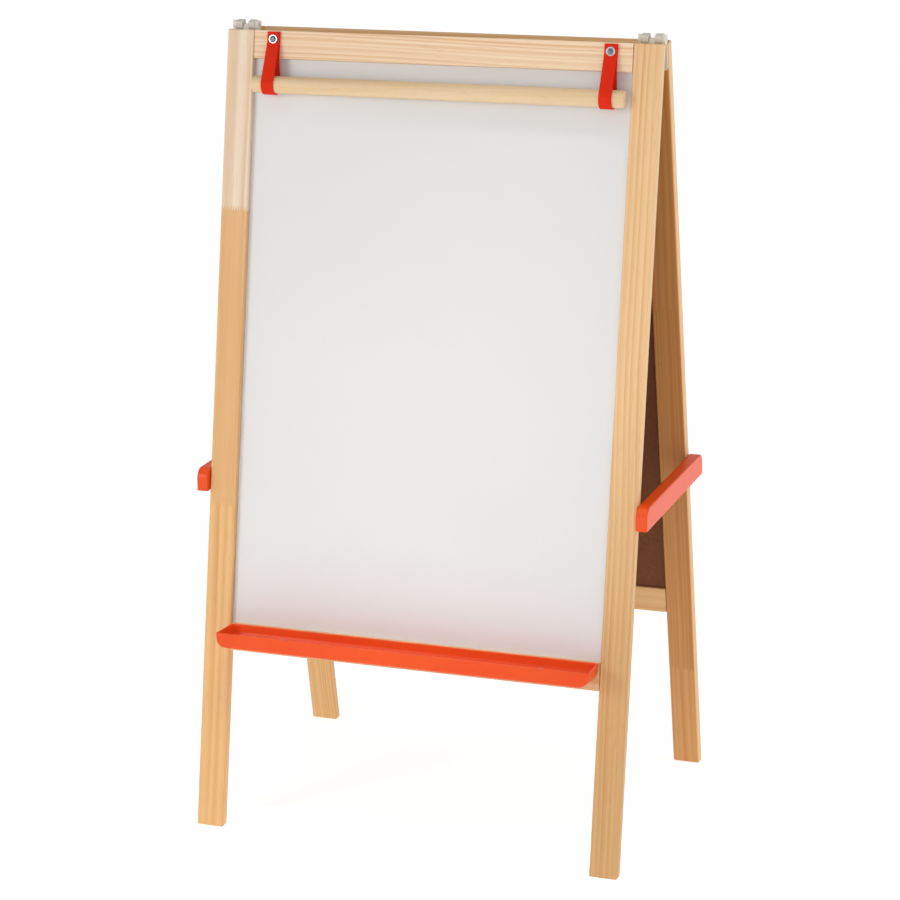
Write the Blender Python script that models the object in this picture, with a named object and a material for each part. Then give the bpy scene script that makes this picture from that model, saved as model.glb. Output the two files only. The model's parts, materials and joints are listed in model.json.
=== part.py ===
"""A folding, double-sided easel for children, standing open on a level floor.

Two wooden frames lean against each other and are hinged at the top. The front frame holds a
whiteboard and the back frame a chalkboard, each with a moulded tray. A paper rod hangs from the
front top rail in two strap loops. Two moulded stays hold the legs apart: each turns on a screw in
a back leg, and drops over a peg in the front leg.

Metres, +Z up, front towards -Y. The origin is on the floor, midway between the four feet.
"""

import math

import bmesh
import bpy
from mathutils import Matrix, Vector

# Fits
GAP = 0.0003                    # between pieces that touch
PAST = 0.002                    # how far a cutter runs past the surface it opens

# Frames. Their own axes are X across, Y from the display side inwards and Z up along the legs,
# with the hinge pins on the X axis.
LEAN = math.radians(10.5)       # of each frame, from upright
OUTER_WIDTH = 0.6565
LEG_WIDTH = 0.042
LEG_DEPTH = 0.017
LEG_LENGTH = 1.185              # along the display side
LEG_ROUNDING = 0.0025
PIN_ABOVE_LEGS = 0.007
HALF_FOLDED_GAP = 0.0046        # from the pins' axis to a leg's inner side
RAIL_HEIGHT = 0.041
RAIL_DEPTH = 0.015
RAIL_ROUNDING = 0.0012
BOTTOM_RAIL_UP = 0.270          # from the foot to the rail's lower edge
BOARD_THICKNESS = 0.003
BOARD_SETBACK = 0.0092          # from the legs' display side
BOARD_IN_GROOVE = 0.005
GROOVE_DEPTH = 0.006
DOWEL_RADIUS = 0.003            # of the glued dowels in the corner joints
DOWEL_LENGTH = 0.030
DOWELS_FROM_EDGE = (0.009, 0.027)   # from the rail's outer edge

# Trays
TRAY_HALF_LENGTH = 0.2845
TRAY_FLARE = 0.0025             # by which each end leans out towards the front
TRAY_DEPTH = 0.055
TRAY_HEIGHT = 0.0284            # at the back
TRAY_FRONT_DROP = 0.0068        # of the front rim below the back rim
TRAY_WALL = 0.0028
TRAY_END_RADIUS = 0.015
TRAY_EDGE_RADIUS = 0.0035
TRAY_DRAFT = 0.003
TRAY_BELOW_RAIL = 0.0004        # from the rail's upper edge down to the tray's back rim
TRAY_SCREW_ACROSS = 0.200
TRAY_SCREW_UP = 0.0095          # from the tray's underside

# Paper rod and its straps
ROD_RADIUS = 0.0125
ROD_HALF_LENGTH = 0.280
ROD_CHAMFER = 0.0015
ROD_OUT = 0.007                 # from the legs' display side to the rod's axis
ROD_BELOW_PIN = 0.0856
STRAP_ACROSS = 0.2545           # from the middle to a strap's middle
STRAP_WIDTH = 0.019
STRAP_THICKNESS = 0.002
STRAP_TOP = -0.009              # frame axes
STRAP_PARTS_AT = -0.029         # where its two layers part
STRAP_SCREW_AT = -0.020
WASHER_RADIUS = 0.0065
WASHER_THICKNESS = 0.0012
WASHER_EDGE = 0.0003

# Hinges
HINGE_WIDTH = 0.039
LEAF_THICKNESS = 0.0028
LEAF_TOP = -0.0074
LEAF_BOTTOM = -0.046
BARREL_RADIUS = 0.0068
PIN_RADIUS = 0.002
OUTER_LUG = (0.0150, 0.0195)    # from the hinge's middle, on the front half
INNER_LUG = (0.0046, 0.0147)    # the same, on the back half
LUG_OVER_ROOT = 0.0002          # a lug's ends stand this much past its root
HINGE_SCREW_ACROSS = 0.011
HINGE_SCREW_AT = -0.025

# Stays
STAY_HALF_LENGTH = 0.153
STAY_WIDTH = 0.0173
STAY_HEIGHT = 0.033
STAY_WALL = 0.0023
STAY_END_RADIUS = 0.015
STAY_EDGE_RADIUS = 0.002
STAY_DRAFT = 0.0015
STAY_UNDERSIDE = 0.4975         # above the floor
STAY_OFF_LEG = 0.0005
PEG_HEIGHT = 0.512              # of the pegs' and the stay screws' axes above the floor
PEG_RADIUS = 0.003
PEG_LENGTH = 0.012              # in the leg
PEG_EDGE = 0.0004
PEG_HEAD_RADIUS = 0.0055
PEG_HEAD_THICKNESS = 0.0025
PEG_HEAD_OUT = 0.0039           # from the leg's side to the head
MOUTH_LENGTH = 0.0185           # of the slot's mouth along the stay's lower edge
MOUTH_FROM = 30                 # degrees round the peg at which the mouth's slanted side starts

# Screws
SCREW_RADIUS = 0.0016
SCREW_LENGTH = 0.012            # below the head
SCREW_TIP = 0.003
PAN_HEAD_RADIUS = 0.004
PAN_HEAD_HEIGHT = 0.0024
RECESS_ARM = 0.0021             # of the cross in a pan head
RECESS_HALF_WIDTH = 0.0005
RECESS_DEPTH = 0.0012
FLAT_HEAD_RADIUS = 0.0034
FLAT_HEAD_HEIGHT = 0.0018
ROUND_SIDES = 16

# Worked out from the above
LEG_OUTER_X = OUTER_WIDTH / 2
LEG_INNER_X = LEG_OUTER_X - LEG_WIDTH
LEG_MIDDLE_X = LEG_OUTER_X - LEG_WIDTH / 2
INNER_SIDE = -HALF_FOLDED_GAP
DISPLAY_SIDE = INNER_SIDE - LEG_DEPTH
LEG_MIDDLE_Y = (INNER_SIDE + DISPLAY_SIDE) / 2
LEG_TOP = -PIN_ABOVE_LEGS
FOOT = LEG_TOP - LEG_LENGTH
PIN_HEIGHT = DISPLAY_SIDE * math.sin(LEAN) - FOOT * math.cos(LEAN)
RAIL_FRONT = LEG_MIDDLE_Y - RAIL_DEPTH / 2
TOP_RAIL = (LEG_TOP - RAIL_HEIGHT, LEG_TOP)
BOTTOM_RAIL = (FOOT + BOTTOM_RAIL_UP, FOOT + BOTTOM_RAIL_UP + RAIL_HEIGHT)
BOARD_FRONT = DISPLAY_SIDE + BOARD_SETBACK
ROD_Y = DISPLAY_SIDE - ROD_OUT
FRAME_MATRIX = {
    "front": Matrix.Translation((0, 0, PIN_HEIGHT)) @ Matrix.Rotation(-LEAN, 4, "X"),
    "back": (Matrix.Translation((0, 0, PIN_HEIGHT)) @ Matrix.Rotation(math.pi, 4, "Z")
             @ Matrix.Rotation(-LEAN, 4, "X")),
}
SIDES = {"left": -1, "right": 1}

# Colour, roughness and metallic value of each finish
FINISHES = {
    "pine": ((0.76, 0.50, 0.26), 0.55, 0.0),
    "beech": ((0.78, 0.56, 0.32), 0.50, 0.0),
    "whiteboard": ((0.80, 0.80, 0.78), 0.25, 0.0),
    "chalkboard": ((0.02, 0.025, 0.022), 0.85, 0.0),
    "orange plastic": ((0.80, 0.07, 0.012), 0.35, 0.0),
    "red strap": ((0.65, 0.025, 0.008), 0.60, 0.0),
    "pale plastic": ((0.72, 0.70, 0.66), 0.45, 0.0),
    "zinc": ((0.62, 0.63, 0.65), 0.30, 1.0),
    "steel": ((0.55, 0.56, 0.58), 0.35, 1.0),
}


# Making meshes

def add_box(bm, low, high):
    """A box between two corners."""
    low, high = Vector(low), Vector(high)
    size = Matrix.Diagonal((high - low).to_4d())
    bmesh.ops.create_cube(bm, size=1, matrix=Matrix.Translation((low + high) / 2) @ size)


def add_rod(bm, radius, start, end, sides=ROUND_SIDES):
    """A round bar between two points."""
    start, end = Vector(start), Vector(end)
    along = end - start
    turn = along.to_track_quat("Z", "Y").to_matrix().to_4x4()
    bmesh.ops.create_cone(bm, cap_ends=True, segments=sides, radius1=radius, radius2=radius,
                          depth=along.length, matrix=Matrix.Translation((start + end) / 2) @ turn)


def add_prism(bm, outline, x_from, x_to):
    """An outline in Y and Z, extruded along X."""
    face = bm.faces.new([bm.verts.new((x_from, y, z)) for y, z in outline])
    grown = bmesh.ops.extrude_face_region(bm, geom=[face])["geom"]
    moved = [v for v in grown if isinstance(v, bmesh.types.BMVert)]
    bmesh.ops.translate(bm, verts=moved, vec=(x_to - x_from, 0, 0))
    bmesh.ops.recalc_face_normals(bm, faces=bm.faces)


def add_turned(bm, profile, matrix, sides=ROUND_SIDES):
    """A profile of (radius, height) points, turned round Z and then placed by the matrix."""
    ring = [bm.verts.new((radius, 0, height)) for radius, height in profile]
    edges = [bm.edges.new(pair) for pair in zip(ring, ring[1:])]
    bmesh.ops.spin(bm, geom=ring + edges, cent=(0, 0, 0), axis=(0, 0, 1),
                   angle=2 * math.pi, steps=sides)
    bmesh.ops.remove_doubles(bm, verts=bm.verts, dist=1e-6)
    bmesh.ops.recalc_face_normals(bm, faces=bm.faces)
    bmesh.ops.transform(bm, matrix=matrix, verts=bm.verts)


def arc(centre, radius, start, end, steps):
    """Points on a round stretch, with its angles in degrees."""
    angles = [math.radians(start + (end - start) * i / steps) for i in range(steps + 1)]
    return [(centre[0] + radius * math.cos(a), centre[1] + radius * math.sin(a)) for a in angles]


def facing(axis, at):
    """The matrix that turns +Z towards an axis and places it."""
    return Matrix.Translation(at) @ Vector(axis).to_track_quat("Z", "Y").to_matrix().to_4x4()


def end_outline(half_length, top, bottom, radius, draft):
    """A trough seen from its long side: the rim above, and both ends rounded below."""
    inner = half_length - draft - radius
    right = arc((inner, bottom + radius), radius, 0, -90, 5)
    left = arc((-inner, bottom + radius), radius, -90, -180, 5)
    return [(half_length, top)] + right + left + [(-half_length, top)]


def add_trough(bm, half_length, y_front, y_back, drop, top, bottom, radius, draft, edge,
               flare=0.0):
    """A trough's solid along X, its long edges round. Towards the front its rim falls by drop
    and each end moves out by flare."""
    loops = []
    for y, rim, longer in ((y_front, top - drop, flare), (y_back, top, 0.0)):
        points = end_outline(half_length + longer, rim, bottom, radius, draft)
        loops.append([bm.verts.new((x, y, z)) for x, z in points])
    front, back = loops
    count = len(front)
    faces = [bm.faces.new(front), bm.faces.new(back)]
    for i in range(count):
        j = (i + 1) % count
        faces.append(bm.faces.new((front[i], front[j], back[j], back[i])))
    bmesh.ops.recalc_face_normals(bm, faces=faces)
    round_edges = [e for face in faces[:2] for e in face.edges
                   if not {front[0], front[-1]} == set(e.verts)
                   and not {back[0], back[-1]} == set(e.verts)]
    bmesh.ops.bevel(bm, geom=round_edges, offset=edge, segments=2, profile=0.5, affect="EDGES")


# Making objects

def finish_for(name, finish):
    """The piece's own material."""
    colour, roughness, metallic = FINISHES[finish]
    material = bpy.data.materials.new(name + "_" + finish.replace(" ", "_"))
    material.use_nodes = True
    shader = material.node_tree.nodes["Principled BSDF"]
    shader.inputs["Base Color"].default_value = (*colour, 1)
    shader.inputs["Roughness"].default_value = roughness
    shader.inputs["Metallic"].default_value = metallic
    material.diffuse_color = (*colour, 1)
    return material


def make(name, bm, finish, parent=None, smooth=False):
    """An object from a mesh, with its own material, under its frame's empty."""
    mesh = bpy.data.meshes.new(name)
    bm.to_mesh(mesh)
    bm.free()
    piece = bpy.data.objects.new(name, mesh)
    bpy.context.scene.collection.objects.link(piece)
    piece.parent = parent
    mesh.materials.append(finish_for(name, finish))
    if smooth:
        mesh.shade_smooth()
        mesh.set_sharp_from_angle(angle=math.radians(35))
    return piece


def helper(name, bm, parent):
    """A solid that only shapes another one."""
    mesh = bpy.data.meshes.new(name)
    bm.to_mesh(mesh)
    bm.free()
    tool = bpy.data.objects.new(name, mesh)
    bpy.context.scene.collection.objects.link(tool)
    tool.parent = parent
    tool.hide_render = True
    tool.display_type = "WIRE"
    return tool


def soften(piece, width, segments=2):
    """Rounds the piece's sharp edges."""
    bevel = piece.modifiers.new("rounding", "BEVEL")
    bevel.width = width
    bevel.segments = segments
    bevel.limit_method = "ANGLE"
    bevel.angle_limit = math.radians(40)


def combine(piece, tool, operation):
    """Cuts the tool out of the piece, or joins it on."""
    boolean = piece.modifiers.new(tool.name, "BOOLEAN")
    boolean.operation = operation
    boolean.solver = "EXACT"
    boolean.object = tool


def frame_empty(frame):
    """The empty on the hinge pins' axis that carries a frame."""
    empty = bpy.data.objects.new(frame + "_frame", None)
    bpy.context.scene.collection.objects.link(empty)
    empty.matrix_world = FRAME_MATRIX[frame]
    return empty


def local_side(frame, side):
    """+1 or -1: where the object's left or right lies on the frame's own X axis."""
    return SIDES[side] * (1 if frame == "front" else -1)


# Frames

def joint_heights(rail):
    """The two dowels' heights in a rail, measured from its plain edge."""
    if rail == TOP_RAIL:
        return [rail[1] - up for up in DOWELS_FROM_EDGE]
    return [rail[0] + up for up in DOWELS_FROM_EDGE]


def make_leg(frame, side, parent):
    """A leg, its foot cut level with the floor, grooved for the board."""
    at = local_side(frame, side)
    foot_inner = FOOT + LEG_DEPTH * math.tan(LEAN)
    outline = [(DISPLAY_SIDE, FOOT), (DISPLAY_SIDE, LEG_TOP), (INNER_SIDE, LEG_TOP),
               (INNER_SIDE, foot_inner)]
    bm = bmesh.new()
    add_prism(bm, outline, at * LEG_INNER_X, at * LEG_OUTER_X)
    leg = make(f"{frame}_leg_{side}", bm, "pine", parent)
    soften(leg, LEG_ROUNDING)

    cuts = bmesh.new()
    inside = at * (LEG_INNER_X - PAST)
    groove = at * (LEG_INNER_X + GROOVE_DEPTH)
    add_box(cuts, (min(inside, groove), BOARD_FRONT - GAP, BOTTOM_RAIL[1] - GROOVE_DEPTH),
            (max(inside, groove), BOARD_FRONT + BOARD_THICKNESS + GAP, TOP_RAIL[0] + GROOVE_DEPTH))
    for rail in (TOP_RAIL, BOTTOM_RAIL):
        for z in joint_heights(rail):
            add_rod(cuts, DOWEL_RADIUS + GAP, (inside, LEG_MIDDLE_Y, z),
                    (at * (LEG_INNER_X + DOWEL_LENGTH / 2 + GAP), LEG_MIDDLE_Y, z))
    for across in (-HINGE_SCREW_ACROSS, HINGE_SCREW_ACROSS):
        x = at * LEG_MIDDLE_X + across
        add_rod(cuts, SCREW_RADIUS + GAP, (x, INNER_SIDE + PAST, HINGE_SCREW_AT),
                (x, INNER_SIDE - SCREW_LENGTH, HINGE_SCREW_AT))
    peg_y, peg_z = peg_in_frame()
    add_rod(cuts, PEG_RADIUS + GAP, (at * (LEG_OUTER_X + PAST), peg_y, peg_z),
            (at * (LEG_OUTER_X - PEG_LENGTH - GAP), peg_y, peg_z))
    combine(leg, helper(f"cut_{leg.name}", cuts, parent), "DIFFERENCE")


def make_rail(frame, place, rail, parent):
    """A rail between the legs, grooved for the board on its inner edge."""
    half = LEG_INNER_X - GAP
    low, high = rail
    bm = bmesh.new()
    add_box(bm, (-half, RAIL_FRONT, low), (half, RAIL_FRONT + RAIL_DEPTH, high))
    piece = make(f"{frame}_{place}_rail", bm, "pine", parent)
    soften(piece, RAIL_ROUNDING)

    cuts = bmesh.new()
    edge = low if rail == TOP_RAIL else high
    add_box(cuts, (-half - PAST, BOARD_FRONT - GAP, edge - GROOVE_DEPTH),
            (half + PAST, BOARD_FRONT + BOARD_THICKNESS + GAP, edge + GROOVE_DEPTH))
    for way in (-1, 1):
        for z in joint_heights(rail):
            add_rod(cuts, DOWEL_RADIUS + GAP, (way * (half + PAST), LEG_MIDDLE_Y, z),
                    (way * (half - DOWEL_LENGTH / 2), LEG_MIDDLE_Y, z))
    if rail == BOTTOM_RAIL:
        screws = [(way * TRAY_SCREW_ACROSS, tray_screw_height()) for way in (-1, 1)]
    elif frame == "front":
        screws = [(way * STRAP_ACROSS, STRAP_SCREW_AT) for way in (-1, 1)]
    else:
        screws = []
    for x, z in screws:
        add_rod(cuts, SCREW_RADIUS + GAP, (x, RAIL_FRONT - PAST, z),
                (x, RAIL_FRONT + SCREW_LENGTH, z))
    combine(piece, helper(f"cut_{piece.name}", cuts, parent), "DIFFERENCE")


def make_joint_dowels(frame, place, rail, side, parent):
    """The two glued dowels between a rail's end and a leg."""
    at = local_side(frame, side)
    for where, z in zip(("outer", "inner"), joint_heights(rail)):
        bm = bmesh.new()
        add_rod(bm, DOWEL_RADIUS, (at * (LEG_INNER_X - DOWEL_LENGTH / 2 + GAP), LEG_MIDDLE_Y, z),
                (at * (LEG_INNER_X + DOWEL_LENGTH / 2 - GAP), LEG_MIDDLE_Y, z))
        make(f"{frame}_{place}_joint_dowel_{side}_{where}", bm, "beech", parent, smooth=True)


def make_board(name, finish, parent):
    """A board held in the grooves of its frame."""
    half = LEG_INNER_X + BOARD_IN_GROOVE
    bm = bmesh.new()
    add_box(bm, (-half, BOARD_FRONT, BOTTOM_RAIL[1] - BOARD_IN_GROOVE),
            (half, BOARD_FRONT + BOARD_THICKNESS, TOP_RAIL[0] + BOARD_IN_GROOVE))
    make(name, bm, finish, parent)


# Trays

def tray_rim():
    """The height of a tray's back rim on its frame."""
    return BOTTOM_RAIL[1] - TRAY_BELOW_RAIL


def tray_screw_height():
    """The height of the tray's screws on its frame."""
    return tray_rim() - TRAY_HEIGHT + TRAY_SCREW_UP


def make_tray(frame, parent):
    """An open trough on the bottom rail, its ends rounded underneath."""
    rim = tray_rim()
    back = RAIL_FRONT - GAP
    bm = bmesh.new()
    add_trough(bm, TRAY_HALF_LENGTH, back - TRAY_DEPTH, back, TRAY_FRONT_DROP, rim,
               rim - TRAY_HEIGHT, TRAY_END_RADIUS, TRAY_DRAFT, TRAY_EDGE_RADIUS, TRAY_FLARE)
    tray = make(f"{frame}_tray", bm, "orange plastic", parent, smooth=True)

    cuts = bmesh.new()
    above = 5 * PAST
    spread = above * TRAY_DRAFT / (TRAY_HEIGHT - TRAY_END_RADIUS)
    add_trough(cuts, TRAY_HALF_LENGTH - TRAY_WALL + spread, back - TRAY_DEPTH + TRAY_WALL,
               back - TRAY_WALL, 0.0, rim + above, rim - TRAY_HEIGHT + TRAY_WALL,
               TRAY_END_RADIUS - TRAY_WALL, TRAY_DRAFT + spread, TRAY_EDGE_RADIUS, TRAY_FLARE)
    combine(tray, helper(f"hollow_{tray.name}", cuts, parent), "DIFFERENCE")
    holes = bmesh.new()
    for way in (-1, 1):
        x = way * TRAY_SCREW_ACROSS
        z = tray_screw_height()
        add_rod(holes, SCREW_RADIUS + GAP, (x, back + PAST, z), (x, back - TRAY_WALL - PAST, z))
    combine(tray, helper(f"holes_{tray.name}", holes, parent), "DIFFERENCE")
    for side in SIDES:
        at = local_side(frame, side) * TRAY_SCREW_ACROSS
        head = (at, back - TRAY_WALL - GAP, tray_screw_height())
        make_pan_screw(f"{frame}_tray_screw_{side}", head, (0, -1, 0), parent)


# Screws

def make_pan_screw(name, at, out, parent):
    """A screw with a domed head and a cross recess, its head's underside at a point."""
    dome = [(PAN_HEAD_RADIUS * math.cos(a), PAN_HEAD_HEIGHT * (0.45 + 0.55 * math.sin(a)))
            for a in (0, math.radians(35), math.radians(65))]
    profile = [(0, -SCREW_LENGTH), (SCREW_RADIUS, SCREW_TIP - SCREW_LENGTH), (SCREW_RADIUS, 0),
               (PAN_HEAD_RADIUS, 0)] + dome + [(0, PAN_HEAD_HEIGHT)]
    bm = bmesh.new()
    add_turned(bm, profile, facing(out, at))
    screw = make(name, bm, "zinc", parent, smooth=True)
    slot = RECESS_HALF_WIDTH
    quarter = [(slot, slot), (slot, RECESS_ARM), (-slot, RECESS_ARM)]
    outline = [(y * c - z * s, y * s + z * c)
               for c, s in ((1, 0), (0, 1), (-1, 0), (0, -1)) for y, z in quarter]
    cross = bmesh.new()
    add_prism(cross, outline, PAN_HEAD_HEIGHT - RECESS_DEPTH, PAN_HEAD_HEIGHT + PAST)
    upright = Matrix.Rotation(-math.pi / 2, 4, "Y")
    bmesh.ops.transform(cross, matrix=facing(out, at) @ upright, verts=cross.verts)
    combine(screw, helper(f"recess_{name}", cross, parent), "DIFFERENCE")


def make_flat_screw(name, at, out, parent):
    """A countersunk screw, the top of its head at a point."""
    profile = [(0, -SCREW_LENGTH), (SCREW_RADIUS, SCREW_TIP - SCREW_LENGTH),
               (SCREW_RADIUS, -FLAT_HEAD_HEIGHT), (FLAT_HEAD_RADIUS, 0), (0, 0)]
    bm = bmesh.new()
    add_turned(bm, profile, facing(out, at))
    make(name, bm, "zinc", parent, smooth=True)


# Paper rod and straps

def make_paper_rod(parent):
    """The loose rod that a paper roll is threaded on. Its origin is on its own axis."""
    start = ROD_HALF_LENGTH - ROD_CHAMFER
    profile = [(0, -ROD_HALF_LENGTH), (ROD_RADIUS - ROD_CHAMFER, -ROD_HALF_LENGTH),
               (ROD_RADIUS, -start), (ROD_RADIUS, start),
               (ROD_RADIUS - ROD_CHAMFER, ROD_HALF_LENGTH), (0, ROD_HALF_LENGTH)]
    bm = bmesh.new()
    add_turned(bm, profile, facing((1, 0, 0), (0, 0, 0)), sides=28)
    rod = make("paper_rod", bm, "beech", parent, smooth=True)
    rod.location = (0, ROD_Y, -ROD_BELOW_PIN)


def touch_angle(centre, radius, point, way):
    """The angle, in degrees, at which a line from a point above touches a circle.
    The line passes the circle on its left for way 1, and on its right for way -1."""
    away = Vector(point) - Vector(centre)
    return math.degrees(math.atan2(away.y, away.x) + way * math.acos(radius / away.length))


def strap_loop(radius, front, back):
    """From the rail's lower edge down behind the rod, round it, and up to where the layers meet.
    Y and Z."""
    centre = (ROD_Y, -ROD_BELOW_PIN)
    leave, meet = (back, TOP_RAIL[0]), (front, STRAP_PARTS_AT)
    start = touch_angle(centre, radius, leave, -1)
    return [leave] + arc(centre, radius, start, touch_angle(centre, radius, meet, 1) - 360, 18) + [meet]


def make_strap(side, parent):
    """A strap, doubled under its screw, with its loop round the rod."""
    at = SIDES[side] * STRAP_ACROSS
    back = RAIL_FRONT - GAP
    front = back - 2 * STRAP_THICKNESS
    hold = ROD_RADIUS + GAP
    outer = [(back, STRAP_TOP)] + strap_loop(hold + STRAP_THICKNESS, front, back)
    outer.append((front, STRAP_TOP))
    bm = bmesh.new()
    add_prism(bm, outer, at - STRAP_WIDTH / 2, at + STRAP_WIDTH / 2)
    strap = make(f"strap_{side}", bm, "red strap", parent, smooth=True)

    inner = strap_loop(hold, back - STRAP_THICKNESS, back - STRAP_THICKNESS)
    hollow = bmesh.new()
    add_prism(hollow, inner, at - STRAP_WIDTH, at + STRAP_WIDTH)
    combine(strap, helper(f"hollow_{strap.name}", hollow, parent), "DIFFERENCE")
    hole = bmesh.new()
    add_rod(hole, SCREW_RADIUS + GAP, (at, back + PAST, STRAP_SCREW_AT),
            (at, front - PAST, STRAP_SCREW_AT))
    combine(strap, helper(f"hole_{strap.name}", hole, parent), "DIFFERENCE")

    ring = bmesh.new()
    bore = SCREW_RADIUS + GAP
    profile = [(bore, 0), (WASHER_RADIUS, 0), (WASHER_RADIUS, WASHER_THICKNESS - WASHER_EDGE),
               (WASHER_RADIUS - WASHER_EDGE, WASHER_THICKNESS), (bore, WASHER_THICKNESS), (bore, 0)]
    add_turned(ring, profile, facing((0, -1, 0), (at, front - GAP, STRAP_SCREW_AT)), sides=24)
    make(f"strap_washer_{side}", ring, "steel", parent, smooth=True)
    head = (at, front - 2 * GAP - WASHER_THICKNESS, STRAP_SCREW_AT)
    make_pan_screw(f"strap_screw_{side}", head, (0, -1, 0), parent)


# Hinges

def make_hinge_half(frame, side, lug, parent):
    """A leaf on the leg's inner side, with two lugs round the pin."""
    middle = local_side(frame, side) * LEG_MIDDLE_X
    out = INNER_SIDE + GAP
    face = out + LEAF_THICKNESS
    half = HINGE_WIDTH / 2
    edge = half - LUG_OVER_ROOT
    root_in, root_out = lug[0] + LUG_OVER_ROOT, lug[1] - LUG_OVER_ROOT
    shoulder = [(edge, LEAF_TOP), (root_out, LEAF_TOP)] if lug is INNER_LUG else []
    right = [(edge, LEAF_BOTTOM)] + shoulder + [(root_out, 0), (root_in, 0), (root_in, LEAF_TOP)]
    outline = right + [(-x, z) for x, z in reversed(right)]
    bm = bmesh.new()
    # Drawn in Y and Z and extruded along X, then turned so that it faces along Y.
    add_prism(bm, outline, out, face)
    swap = Matrix(((0, 1, 0, middle), (1, 0, 0, 0), (0, 0, 1, 0), (0, 0, 0, 1)))
    bmesh.ops.transform(bm, matrix=swap, verts=bm.verts)
    bmesh.ops.recalc_face_normals(bm, faces=bm.faces)
    half_hinge = make(f"hinge_{side}_{frame}_half", bm, "pale plastic", parent, smooth=True)
    for way in (-1, 1):
        barrel = bmesh.new()
        add_rod(barrel, BARREL_RADIUS, (middle + way * lug[0], 0, 0), (middle + way * lug[1], 0, 0),
                sides=20)
        combine(half_hinge, helper(f"barrel_{half_hinge.name}_{way}", barrel, parent), "UNION")

    cuts = bmesh.new()
    add_rod(cuts, PIN_RADIUS + GAP, (middle - half - PAST, 0, 0), (middle + half + PAST, 0, 0))
    sink = [(0, PAST), (FLAT_HEAD_RADIUS + GAP, PAST), (FLAT_HEAD_RADIUS + GAP, 0),
            (SCREW_RADIUS + GAP, -FLAT_HEAD_HEIGHT), (SCREW_RADIUS + GAP, -LEAF_THICKNESS - PAST),
            (0, -LEAF_THICKNESS - PAST)]
    for across in (-HINGE_SCREW_ACROSS, HINGE_SCREW_ACROSS):
        hole = bmesh.new()
        add_turned(hole, sink, facing((0, 1, 0), (middle + across, face, HINGE_SCREW_AT)))
        copied = bpy.data.meshes.new("countersink")
        hole.to_mesh(copied)
        hole.free()
        cuts.from_mesh(copied)
    combine(half_hinge, helper(f"cut_{half_hinge.name}", cuts, parent), "DIFFERENCE")
    for number, across in enumerate((-HINGE_SCREW_ACROSS, HINGE_SCREW_ACROSS), start=1):
        at = (middle + across, face - GAP, HINGE_SCREW_AT)
        make_flat_screw(f"hinge_{side}_{frame}_screw_{number}", at, (0, 1, 0), parent)


def make_hinge_pin(side, parent):
    """The pin through a hinge's four lugs."""
    end = HINGE_WIDTH / 2 - GAP
    narrow = PIN_RADIUS - PEG_EDGE
    profile = [(0, -end), (narrow, -end), (PIN_RADIUS, -end + PEG_EDGE),
               (PIN_RADIUS, end - PEG_EDGE), (narrow, end), (0, end)]
    bm = bmesh.new()
    add_turned(bm, profile, facing((1, 0, 0), (SIDES[side] * LEG_MIDDLE_X, 0, 0)))
    make(f"hinge_{side}_pin", bm, "steel", parent, smooth=True)


# Stays

def peg_in_frame():
    """Where the legs' middle line is at the pegs' height, in a frame's own Y and Z."""
    z = (PEG_HEIGHT - PIN_HEIGHT + LEG_MIDDLE_Y * math.sin(LEAN)) / math.cos(LEAN)
    return LEG_MIDDLE_Y, z


def peg_in_world(frame):
    """The world Y of the legs' middle line at the pegs' height."""
    y, z = peg_in_frame()
    return (FRAME_MATRIX[frame] @ Vector((0, y, z))).y


def make_peg(name, frame, side, parent):
    """A turned peg in a leg's outer side, with a flat head that stands inside the stay."""
    at = local_side(frame, side)
    y, z = peg_in_frame()
    top = PEG_HEAD_OUT + PEG_HEAD_THICKNESS
    profile = [(0, -PEG_LENGTH), (PEG_RADIUS, -PEG_LENGTH), (PEG_RADIUS, PEG_HEAD_OUT),
               (PEG_HEAD_RADIUS, PEG_HEAD_OUT), (PEG_HEAD_RADIUS, top - PEG_EDGE),
               (PEG_HEAD_RADIUS - PEG_EDGE, top), (0, top)]
    bm = bmesh.new()
    add_turned(bm, profile, facing((at, 0, 0), (at * LEG_OUTER_X, y, z)), sides=20)
    make(name, bm, "zinc", parent, smooth=True)


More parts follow.
